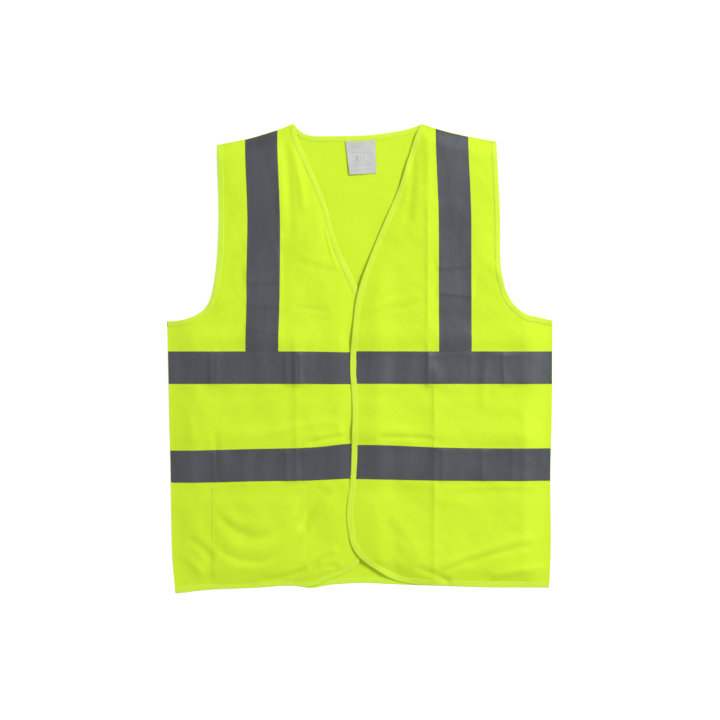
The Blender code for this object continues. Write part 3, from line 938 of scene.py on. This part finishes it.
class Nodes:
    """Small helper round a material's node tree."""

    def __init__(self, name):
        self.material = bpy.data.materials.new(name)
        self.material.use_nodes = True
        self.tree = self.material.node_tree
        self.shader = self.tree.nodes["Principled BSDF"]

    def add(self, kind, **settings):
        """A new node with its options and inputs."""
        return self.fill(self.tree.nodes.new(kind), settings)

    def fill(self, node, settings):
        """Sets options and inputs of a node, or links an output to an input."""
        for key, value in settings.items():
            name = key.replace("_", " ")
            if name not in node.inputs:
                setattr(node, key, value)
            elif isinstance(value, bpy.types.NodeSocket):
                self.tree.links.new(value, node.inputs[name])
            elif node.inputs[name].type == "RGBA":
                node.inputs[name].default_value = (*value, 1.0)
            else:
                node.inputs[name].default_value = value
        return node

    def surface(self, **settings):
        """Sets the shader's sockets."""
        self.fill(self.shader, settings)
        return self.material

    def math(self, operation, a, b=0.0):
        node = self.add("ShaderNodeMath", operation=operation)
        for slot, value in zip(node.inputs, (a, b)):
            if isinstance(value, (int, float)):
                slot.default_value = value
            else:
                self.tree.links.new(value, slot)
        return node.outputs[0]

    def total(self, *parts):
        """The sum of some values, each times its share."""
        result = None
        for value, share in parts:
            value = self.math("MULTIPLY", value, share)
            result = value if result is None else self.math("ADD", result, value)
        return result

    def pattern(self):
        """The place on the flat pattern, so that a weave follows its cloth."""
        return self.add("ShaderNodeAttribute", attribute_name="pattern").outputs["Vector"]

    def split(self, vector):
        return self.add("ShaderNodeSeparateXYZ", Vector=vector).outputs

    def stretch(self, vector, scale):
        return self.add("ShaderNodeMapping", Vector=vector, Scale=scale).outputs[0]

    def noise(self, vector, scale, detail=3.0, roughness=0.55):
        sizes = {"Scale": scale, "Detail": detail, "Roughness": roughness}
        return self.add("ShaderNodeTexNoise", Vector=vector, **sizes).outputs["Fac"]

    def ramp(self, value, stops):
        node = self.add("ShaderNodeValToRGB", Fac=value)
        ramp = node.color_ramp
        while len(ramp.elements) < len(stops):
            ramp.elements.new(0.5)
        for element, (place, colour) in zip(ramp.elements, stops):
            element.position = place
            element.color = (*colour, 1.0)
        return node.outputs[0]

    def span(self, value, low, high, to_low, to_high):
        ends = {"From_Min": low, "From_Max": high, "To_Min": to_low, "To_Max": to_high}
        return self.add("ShaderNodeMapRange", Value=value, **ends).outputs[0]

    def bump(self, height, strength, distance, **before):
        sizes = {"Strength": strength, "Distance": distance}
        return self.add("ShaderNodeBump", Height=height, **sizes, **before).outputs[0]


def ribs(nodes, coordinate, pitch):
    """Rounded ribs: the positive half of a sine wave along a coordinate."""
    wave = nodes.math("SINE", nodes.math("MULTIPLY", coordinate, 2 * math.pi / pitch))
    return nodes.math("MULTIPLY", nodes.math("ADD", wave, 1.0), 0.5)


def knit_look(name, deep, mid, light, wale=0.00115, course=0.00085, sheen=0.25):
    """Warp-knitted polyester: columns of small loops, faint colour variation and a soft sheen."""
    n = Nodes(name)
    place = n.pattern()
    x, y, _ = n.split(place)
    broad = n.noise(place, 9.0, 4.0)
    fine = n.noise(place, 240.0, 2.0)
    slub = n.noise(n.stretch(place, (900.0, 60.0, 1.0)), 1.0, 2.0)
    tone = n.total((broad, 0.6), (fine, 0.2), (slub, 0.2))
    columns = ribs(n, x, wale)
    stagger = n.math("MULTIPLY", ribs(n, x, 2 * wale), course)
    loops = n.math("MULTIPLY", columns, ribs(n, n.math("ADD", y, stagger), course))
    knit = n.total((columns, 0.6), (loops, 0.4))
    weave = n.bump(knit, 0.55, 0.00012)
    return n.surface(
        Base_Color=n.ramp(tone, ((0.30, deep), (0.52, mid), (0.72, light))),
        Roughness=n.span(knit, 0.0, 1.0, 0.92, 0.74),
        Normal=n.bump(n.noise(place, 70.0, 3.0), 0.35, 0.0008, Normal=weave),
        Specular_IOR_Level=0.25, Sheen_Weight=sheen, Sheen_Roughness=0.45, Sheen_Tint=light,
    )


def tape_look():
    """Glass-bead reflective tape: fine grey beads on a fabric back, with faint upright streaks of
    painted shade in its colour.
    """
    n = Nodes("reflective_tape_look")
    place = n.pattern()
    x, y, _ = n.split(place)
    # broad: upright streaks of painted shade in the base colour, standing in for light on the tape's
    # small buckles; it also sets the roughness
    broad = n.noise(n.stretch(place, (34.0, 6.0, 1.0)), 1.0, 3.0)
    patch = n.noise(place, 16.0, 3.0)
    beads = n.add("ShaderNodeTexVoronoi", Vector=place, Scale=2600.0)
    grain = n.noise(place, 1500.0, 2.0)
    # half of this tone is the painted shade of broad, the rest is random tone from patch and grain
    tone = n.total((broad, 0.5), (patch, 0.28), (grain, 0.22))
    deep, mid, light = (0.084, 0.089, 0.099), (0.104, 0.110, 0.121), (0.127, 0.134, 0.148)
    bead_bump = n.bump(beads.outputs["Distance"], 0.35, 0.00006)
    weave = n.math("MULTIPLY", ribs(n, x, 0.0007), ribs(n, y, 0.0007))
    cloth_bump = n.bump(weave, 0.3, 0.00005, Normal=bead_bump)
    soft = n.noise(n.stretch(place, (90.0, 26.0, 1.0)), 1.0, 3.0)
    return n.surface(
        Base_Color=n.ramp(tone, ((0.30, deep), (0.50, mid), (0.70, light))),
        Roughness=n.span(broad, 0.3, 0.7, 0.59, 0.53),
        Normal=n.bump(soft, 0.5, 0.0006, Normal=cloth_bump),
        Metallic=0.90, Specular_IOR_Level=0.45,
    )


def label_look(centre, size):
    """Woven satin label with generic printed boxes and rules, and no lettering."""
    n = Nodes("label_cloth_look")
    place = n.pattern()
    x, y, _ = n.split(place)
    u = n.math("DIVIDE", n.math("SUBTRACT", x, centre[0]), size[0])
    v = n.math("DIVIDE", n.math("SUBTRACT", y, centre[1]), size[1])

    def within(value, low, high, soft=0.006):
        rise = n.span(value, low - soft, low + soft, 0.0, 1.0)
        fall = n.span(value, high - soft, high + soft, 1.0, 0.0)
        return n.math("MULTIPLY", rise, fall)

    def box(low_u, high_u, low_v, high_v):
        return n.math("MULTIPLY", within(u, low_u, high_u), within(v, low_v, high_v))

    def outline(low_u, high_u, low_v, high_v, line=0.018):
        inside = box(low_u + line, high_u - line, low_v + line, high_v - line)
        return n.math("SUBTRACT", box(low_u, high_u, low_v, high_v), inside)

    marks = outline(-0.30, -0.02, -0.22, 0.16)
    marks = n.math("MAXIMUM", marks, outline(0.06, 0.34, -0.12, 0.16))
    marks = n.math("MAXIMUM", marks, box(-0.21, -0.11, -0.12, 0.06))
    rules = (
        (0.08, 0.34, -0.20, 0.010), (0.08, 0.28, -0.26, 0.010),
        (-0.32, 0.32, -0.36, 0.008), (-0.32, 0.20, -0.41, 0.008),
        (-0.32, 0.02, 0.36, 0.010), (-0.32, -0.10, 0.30, 0.010),
    )
    for left, right, level, half in rules:
        marks = n.math("MAXIMUM", marks, box(left, right, level - half, level + half))
    worn = n.math("MULTIPLY", marks, n.span(n.noise(place, 900.0, 2.0), 0.3, 0.6, 0.50, 0.95))
    dark, light = (0.48, 0.49, 0.455), (0.55, 0.56, 0.525)
    ground = n.ramp(n.noise(place, 60.0, 3.0), ((0.3, dark), (0.7, light)))
    mixed = n.add("ShaderNodeMixRGB", Fac=worn, Color1=ground, Color2=(0.36, 0.37, 0.44))
    satin = n.total((ribs(n, x, 0.0004), 0.6), (ribs(n, y, 0.0009), 0.4))
    return n.surface(
        Base_Color=mixed.outputs[0],
        Roughness=n.span(n.noise(place, 300.0, 2.0), 0.3, 0.7, 0.42, 0.58),
        Normal=n.bump(satin, 0.4, 0.00006),
        Specular_IOR_Level=0.4, Sheen_Weight=0.15, Sheen_Roughness=0.4,
    )


def pad_look(name, colour, scale, roughness, depth):
    """Hook or loop tape: a field of tiny hooks or a fuzzy pile."""
    n = Nodes(name)
    place = n.pattern()
    cells = n.add("ShaderNodeTexVoronoi", Vector=place, Scale=scale, Randomness=0.35)
    fuzz = n.noise(place, scale * 2.2, 3.0, 0.7)
    light = tuple(min(1.0, c * 1.25 + 0.01) for c in colour)
    dark = tuple(c * 0.62 for c in colour)
    tone = n.math("ADD", n.math("MULTIPLY", fuzz, 0.5), 0.5)
    tone = n.math("SUBTRACT", tone, cells.outputs["Distance"])
    return n.surface(
        Base_Color=n.ramp(tone, ((0.15, dark), (0.45, colour), (0.8, light))),
        Roughness=n.span(fuzz, 0.3, 0.7, roughness + 0.08, roughness - 0.08),
        Normal=n.bump(tone, 0.8, depth),
        Specular_IOR_Level=0.35, Sheen_Weight=0.2,
    )


def thread_look(name, colour):
    """Twisted sewing thread."""
    n = Nodes(name)
    place = n.add("ShaderNodeTexCoord").outputs["Object"]
    tone = n.noise(place, 320.0, 3.0)
    dark = tuple(c * 0.86 for c in colour)
    light = tuple(min(1.0, c * 1.08 + 0.01) for c in colour)
    return n.surface(
        Base_Color=n.ramp(tone, ((0.3, dark), (0.7, light))),
        Roughness=n.span(tone, 0.3, 0.7, 0.72, 0.58),
        Normal=n.bump(n.noise(place, 2600.0, 2.0), 0.5, 0.00008),
        Specular_IOR_Level=0.35, Sheen_Weight=0.2, Sheen_Roughness=0.4,
    )


KNIT = knit_look(
    "knit_fabric_look", (0.532, 0.745, 0.019), (0.568, 0.786, 0.023), (0.598, 0.820, 0.029)
)
RIBBON = knit_look(
    "edge_binding_look", (0.550, 0.770, 0.036), (0.580, 0.800, 0.045), (0.606, 0.824, 0.055),
    wale=0.0009, course=0.0011, sheen=0.35,
)
TAPE_LOOK = tape_look()
THREAD = thread_look("seam_thread_look", (0.600, 0.815, 0.100))
TAPE_THREAD = thread_look("tape_thread_look", (0.13, 0.14, 0.145))
HOOK = pad_look("hook_tape_look", (0.40, 0.60, 0.045), 900.0, 0.5, 0.0003)
LOOP = pad_look("loop_tape_look", (0.46, 0.68, 0.055), 1500.0, 0.88, 0.0004)

# ---- cloth panels

cloths = {name: Cloth(name) for name in ("back", "left", "right")}
for number, cloth in enumerate(cloths.values()):
    simulate(cloth, 40 + number)


x, y = back_pattern()
back = slab("back_cloth", cloths["back"], x, y, 0.0, CLOTH, KNIT)
place(back, "vest", "knit_fabric", "back_panel")
fronts = {}
for side in SIDES:
    x, y = front_pattern(side)
    fronts[side] = slab(side + "_front_cloth", cloths[side], x, y, 0.0, CLOTH, KNIT)
    place(fronts[side], side, "knit_fabric", side + "_front_side", side + "_front_flap")

# ---- pocket


class PocketCloth(Cloth):
    """The underside of the pocket, sewn down at its sides and its foot and open at its mouth."""

    def at(self, x, y):
        x, y = arrays(x, y)
        under = cloths["right"].at(x, y)
        inner = np.minimum(x - POCKET_LOW.x, POCKET_HIGH.x - x) / 0.034
        rise = POCKET_BAG * smooth(inner) * smooth((y - HEM_Y) / 0.07)
        under[..., 2] += CLOTH / 2 + 0.00003 + rise
        return under


def pocket_depth(x, y):
    """The pocket's cloth is pressed thin where it is folded under and sewn."""
    inner = np.minimum(np.minimum(x - POCKET_LOW.x, POCKET_HIGH.x - x), y - POCKET_FOOT)
    return POCKET_RIM + (CLOTH - POCKET_RIM) * smooth(inner / 0.008)


MOUTH_HEM = 0.013
pocket_cloth = PocketCloth("right")
x, y = np.meshgrid(spaced(POCKET_LOW.x, POCKET_HIGH.x), spaced(POCKET_FOOT, POCKET_TOP))
depth = pocket_depth(x, y)
pocket = slab("pocket_cloth", pocket_cloth, x, y, depth / 2, depth, KNIT)
place(pocket, "vest", "knit_fabric", "pocket_patch")
x, y = np.meshgrid(
    spaced(POCKET_LOW.x + 0.0004, POCKET_HIGH.x - 0.0004),
    spaced(POCKET_TOP - MOUTH_HEM, POCKET_TOP - 0.0002, 0.0013),
)
depth = 0.00006 + 0.00010 * smooth((y - POCKET_TOP + MOUTH_HEM) / 0.004)
lift = pocket_depth(x, y) + 0.00001 + depth / 2
mouth = slab("pocket_mouth_hem", pocket_cloth, x, y, lift, depth, KNIT)
place(mouth, "vest", "knit_fabric")

# ---- tapes


def band_pattern(side, level):
    """A front band, from under the binding of the free edge to the side seam."""
    ys = spaced(BAND_TOPS[level] - TAPE_WIDTH, BAND_TOPS[level], 0.0026)[:, None]
    free = free_edge_x(ys) + TAPE_END
    outer = half_width(ys) - TAPE_SEWN
    share = front_shares(side, ys, free, outer, TAPE_COLUMNS)
    x = free + (outer - free) * share
    return SIDES[side] * x, ys + 0 * share


def brace_pattern(side):
    """A brace, from the upper band to the shoulder seam."""
    xs = np.linspace(BRACE_BOX[0].x, BRACE_BOX[1].x, 22)[:, None] * SIDES[side]
    up = np.linspace(0, 1, 200)
    foot = BAND_TOPS["upper"]
    return xs + 0 * up, foot + (shoulder_y(xs) - 0.0008 - foot) * up


def edge_rows(x, y, inset=0.0022):
    """The two stitching lines of a tape whose pattern is given, just inside its long edges."""
    first = np.stack([x[0], y[0]], axis=-1)
    last = np.stack([x[-1], y[-1]], axis=-1)
    across = (last - first) / np.linalg.norm(last - first, axis=1, keepdims=True)
    return first + across * inset, last - across * inset


def add_tape(name, panel, body, group, x, y, flat, *nodes):
    """A tape on the outside of a panel, sewn down along its long edges."""
    back_side = panel == "back"
    lift = -TAPE_LIFT if back_side else TAPE_LIFT
    piece = slab(name, cloths[panel], x, y, lift, TAPE, TAPE_LOOK)
    place(piece, body, "reflective_tape", *nodes)
    for row in edge_rows(x, y):
        stitch_row(group, cloths[panel], row, TAPE_TOP, down=back_side)


for side in SIDES:
    for level in BAND_TOPS:
        x, y = band_pattern(side, level)
        name = side + "_front_" + level + "_band"
        flat = (float(np.ptp(x)), TAPE_WIDTH)
        group = side + "_front_tape_stitches"
        add_tape(name, side, side, group, x, y, flat, name + "_side", name + "_flap")
    x, y = brace_pattern(side)
    flat = (TAPE_WIDTH, float(np.ptp(y)))
    for panel, layer in ((side, "front"), ("back", "back")):
        name = side + "_" + layer + "_brace"
        group = side + "_brace_stitches" if layer == "front" else "back_tape_stitches"
        add_tape(name, panel, "vest", group, x, y, flat, name + "_tape")

for level, top in BAND_TOPS.items():
    ys = spaced(top - TAPE_WIDTH, top, 0.0033)[:, None]
    x = np.linspace(-1, 1, 180) * (half_width(ys) - TAPE_SEWN)
    y = ys + 0 * x
    flat = (float(np.ptp(x)), TAPE_WIDTH)
    name = "back_" + level
    add_tape(name + "_tape", "back", "vest", "back_tape_stitches", x, y, flat, name + "_band")

# ---- bound edges


def front_path(side):
    """From the neck point down the V and the lap, round the corner and along the hem to the side."""
    down = np.arange(NECK_Y - 0.0015, HEM_Y + CORNER_RADIUS, -0.002)
    points = [(free_edge_x(y), y) for y in down]
    middle_x, middle_y = CORNER_RADIUS - LAP_HALF, HEM_Y + CORNER_RADIUS
    for turn in np.linspace(0, math.pi / 2, 60):
        round_x, round_y = CORNER_RADIUS * math.cos(turn), CORNER_RADIUS * math.sin(turn)
        points.append((middle_x - round_x, middle_y - round_y))
    points += [(x, HEM_Y) for x in spaced(middle_x, HEM_HALF - 0.0004)[1:]]
    return [(SIDES[side] * x, y) for x, y in points]


def armhole_path(side):
    """From the underarm up to the shoulder seam."""
    turns = np.linspace(0, math.pi / 2, 60)
    ys = UNDERARM_Y + ARMHOLE_CURVE * (1 - np.cos(turns) ** (2 / ARMHOLE_POWER))
    ys = np.concatenate([ys, spaced(ys[-1], TIP_Y - 0.0006)[1:]])
    return [(SIDES[side] * float(half_width(y)), y) for y in ys]


ROW_INSET = TRIM_WIDTH - 0.0019


def on_trim(x, y):
    """Height of the ribbon's outer face along its stitching line."""
    return 0.95 * TRIM_HALF + over_tape(x, y, ROW_INSET / TRIM_WIDTH)


def add_trim(name, panel, body, group, path, inward, seed, *nodes, pitch=TRIM_PITCH):
    """A ribbon folded round an edge, sewn down near its inner border."""
    piece = trim(name, cloths[panel], path, inward, seed, pitch)
    place(piece, body, "edge_binding", *nodes)
    line, left, _ = even_path(path, 0.002)
    stitch_row(group, cloths[panel], line + inward * left * ROW_INSET, on_trim)


for number, (side, sign) in enumerate(SIDES.items()):
    name = side + "_front_"
    add_trim(name + "edge_trim", side, side, name + "stitches", front_path(side), sign, 70 + number,
             name + "edge_binding", name + "hem_binding", pitch=0.0009)
    path = armhole_path(side)
    for panel, layer in ((side, "front"), ("back", "back")):
        name = side + "_" + layer + "_armhole_"
        group = side + "_front_stitches" if layer == "front" else "back_stitches"
        add_trim(name + "trim", panel, "vest", group, path, sign, 80 + number, name + "binding")

path = [(x, float(shoulder_y(x))) for x in spaced(-NECK_HALF + 0.001, NECK_HALF - 0.001)]
add_trim("neck_trim", "back", "vest", "back_stitches", path, -1, 90, "neck_binding")
path = [(x, HEM_Y) for x in spaced(-HEM_HALF + 0.0004, HEM_HALF - 0.0004)]
add_trim("back_hem_trim", "back", "vest", "back_stitches", path, 1, 91, "back_hem_binding")

# ---- pocket stitching

for edge_x in (POCKET_LOW.x + 0.0025, POCKET_HIGH.x - 0.0025, POCKET_HIGH.x - 0.0065):
    row = [(edge_x, y) for y in spaced(POCKET_FOOT + 0.002, POCKET_TOP - 0.001)]
    stitch_row("pocket_stitches", pocket_cloth, row, pocket_depth)
row = [(x, POCKET_TOP - 0.0115) for x in spaced(POCKET_LOW.x + 0.007, POCKET_HIGH.x - 0.008)]
stitch_row("pocket_stitches", pocket_cloth, row, CLOTH + 0.0001)

# ---- seams


def seam_strip(name, points, node):
    """The sewn allowance between the front and the back."""
    line, left, _ = even_path(points, 0.0026)
    inward = 1 if (left[0] @ (-line[0])) > 0 else -1
    across = np.linspace(0.0, 0.0058, 4)
    x, y = beside(line, inward * left, across)
    low = cloths["back"].at(x, y)
    high = cloths["left" if line[0, 0] > 0 else "right"].at(x, y)
    middle = (low + high) / 2
    half = np.maximum((high - low)[..., 2] / 2 - CLOTH / 2 - 0.00004, 0.0001)
    half = np.minimum(half, 0.00045)[..., None] * np.array((0, 0, 1.0))
    piece = closed_layer(name, x, y, middle + half, middle - half, KNIT, flat_rim=False)
    place(piece, "vest", "seam_thread", node)


for side, sign in SIDES.items():
    ys = spaced(HEM_Y + 0.011, UNDERARM_Y - 0.003)
    path = [(sign * float(half_width(y)), y) for y in ys]
    seam_strip(side + "_side_join", path, side + "_side_seam")
    xs = spaced(NECK_HALF + 0.011, SHOULDER_HALF - 0.011) * sign
    path = [(x, float(shoulder_y(x))) for x in xs]
    seam_strip(side + "_shoulder_join", path, side + "_shoulder_seam")

# ---- hook and loop patches

PAD_SHIFT = 0.003  # towards the wearer's left, as the lap was laid
PAD = 0.0005
PAD_LIFT = TRIM_HALF + 0.00030
for level in ("upper", "lower"):
    for kind, side, look in (("loop", "right", LOOP), ("hook", "left", HOOK)):
        node = level + "_" + kind + "_patch"
        low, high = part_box(node)
        low.x, high.x = low.x + PAD_SHIFT, high.x + PAD_SHIFT
        x, y = oblong(low, high, 0.0012)
        lift = PAD_LIFT if kind == "loop" else -PAD_LIFT
        piece = slab(level + "_" + kind + "_pad", cloths[side], x, y, lift, PAD, look)
        place(piece, side + "_front", kind + "_tape", node)
        middle_x, middle_y = (low.x + high.x) / 2, (low.y + high.y) / 2
        half_x, half_y = (low.x - middle_x) * 0.84, (low.y - middle_y) * 0.945
        turns = ((1, 1), (-1, 1), (-1, -1), (1, -1), (1, 1))
        row = [(middle_x + half_x * a, middle_y + half_y * b) for a, b in turns]
        stitch_row(side + "_pad_stitches", cloths[side], row, PAD_LIFT + PAD / 2, 0.0026, 0.0020,
                   down=kind == "hook")

# ---- label

LABEL_SHIFT = (0.0048, 0.0003)  # from its place in the CAD
LABEL_Z = 0.0021
LABEL_CURL = 0.0011


class LabelCloth(Cloth):
    """The label is sewn to the back along its top and curls up a little at its foot."""

    def at(self, x, y):
        x, y = arrays(x, y)
        down = (LABEL_HIGH.y - y) / (LABEL_HIGH.y - LABEL_LOW.y)
        lie_x, lie_y = laid_out("back", x, y)
        across = (x - LABEL_LOW.x) / (LABEL_HIGH.x - LABEL_LOW.x)
        right_foot = (1 - across) * down  # 1 at the foot, on the wearer's right
        lie_x = lie_x + 0.0045 * right_foot + LABEL_SHIFT[0]
        lie_y = lie_y + LABEL_SHIFT[1] + 0.0010 * down - 0.0016 * right_foot + 0.0006 * across
        curl = LABEL_CURL * smooth(down) * (0.4 + 0.6 * (1 - across))
        curl = curl + 0.0003 * np.sin(across * 5.2 + 0.6) * down
        return np.stack([lie_x, lie_y, LABEL_Z + 0.0003 * (1 - down) + curl], axis=-1)


label_size = (LABEL_HIGH.x - LABEL_LOW.x, LABEL_HIGH.y - LABEL_LOW.y)
label_middle = ((LABEL_HIGH.x + LABEL_LOW.x) / 2, (LABEL_HIGH.y + LABEL_LOW.y) / 2)
label_cloth = LabelCloth("back")
x, y = oblong(LABEL_LOW, LABEL_HIGH, 0.0012)
label_material = label_look(label_middle, label_size)
label = slab("neck_label_cloth", label_cloth, x, y, 0.0, 0.0003, label_material)
place(label, "label", "label_cloth", "neck_label")
row = [(x, LABEL_HIGH.y - 0.0022) for x in spaced(LABEL_LOW.x + 0.001, LABEL_HIGH.x - 0.001)]
stitch_row("label_stitches", label_cloth, row, 0.00015)

# ---- stitches

for group in sorted(STITCHES):
    side = group.split("_")[0]
    if side in ("back", "pocket") or "brace" in group:
        body = "vest"
    elif side == "label":
        body = "label"
    else:
        body = side + "_front" if "pad" in group else side
    grey = "tape" in group or "brace" in group
    place(add_stitches(group, TAPE_THREAD if grey else THREAD), body, "seam_thread")

# ---- what the cloth was cut from


def flat_area(rows_x, rows_y):
    """Area of a pattern given as a grid of points."""
    a = np.stack([rows_x, rows_y], axis=-1)
    d1 = a[1:, 1:] - a[:-1, :-1]
    d2 = a[1:, :-1] - a[:-1, 1:]
    return float(np.abs(d1[..., 0] * d2[..., 1] - d1[..., 1] * d2[..., 0]).sum() / 2)


flat_area(*back_pattern())
for side in SIDES:
    flat_area(*front_pattern(side))

# ---- floor, light and camera

floor_look = Nodes("floor_look").surface(
    Base_Color=(0.35, 0.35, 0.35), Roughness=0.9,
    Emission_Color=(1.0, 1.0, 1.0), Emission_Strength=0.80,
)
floor_mesh = square("floor", 40)
floor_mesh.materials.append(floor_look)
floor = new_object("floor", floor_mesh)
floor.location.z = -0.0002


def add_light(name, where, size, power):
    """A large square lamp aimed at the middle of the vest."""
    data = bpy.data.lights.new(name, "AREA")
    data.size = size
    data.energy = power
    lamp = new_object(name, data)
    lamp.location = where
    lamp.rotation_mode = "QUATERNION"
    lamp.rotation_quaternion = (-Vector(where)).to_track_quat("-Z", "Y")


add_light("key", (3.1, 2.1, 2.6), 1.4, 203.0)
add_light("fill", (-1.8, -0.6, 2.2), 2.2, 8.0)
add_light("top", (0.0, 0.0, 3.2), 2.4, 6.0)
world = bpy.context.scene.world or bpy.data.worlds.new("studio")
bpy.context.scene.world = world
world.use_nodes = True
background = world.node_tree.nodes["Background"].inputs
background["Color"].default_value = (1.0, 1.0, 1.0, 1.0)
background["Strength"].default_value = 0.46
bpy.context.scene.view_settings.view_transform = "Standard"

VIEW_WIDTH = 1.1088  # width of the picture on the floor
LENS, SENSOR = 60.0, 36.0
camera_data = bpy.data.cameras.new("camera")
camera_data.lens = LENS
camera_data.sensor_width = SENSOR
camera = new_object("camera", camera_data)
camera.location = (0.0008, -0.0042, VIEW_WIDTH * LENS / SENSOR + 0.008)
bpy.context.scene.camera = camera
